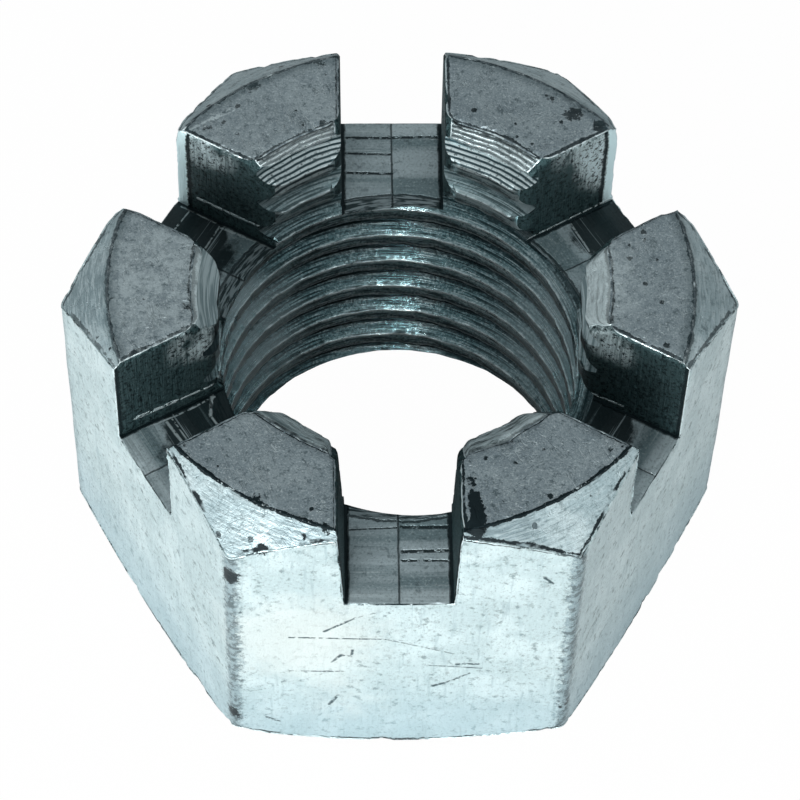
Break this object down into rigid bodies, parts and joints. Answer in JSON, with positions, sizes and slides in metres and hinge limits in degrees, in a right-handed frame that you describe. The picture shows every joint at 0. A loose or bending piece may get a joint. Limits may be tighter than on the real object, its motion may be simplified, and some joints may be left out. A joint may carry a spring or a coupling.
{
  "type": "castle nut",
  "caption": "Thick hexagon nut, slotted through its flats for a cotter pin that locks it on a drilled bolt, zinc plated steel.",
  "frame": {"origin": "centre of the bearing face, on the thread's axis", "axes": "+Z along the thread to the slotted end; one pair of flats faces -Y and +Y, and one pair of corners lies on the X axis"},
  "size_m": [0.053, 0.0462, 0.0323],
  "materials": {
    "zinc_plated_steel": "bright zinc plating, bluish, satin and mottled, with fine tool marks, small dents and dark dirt along the edges"
  },
  "bodies": {
    "root": {"castle_nut": "zinc_plated_steel"}
  },
  "joints": []
}
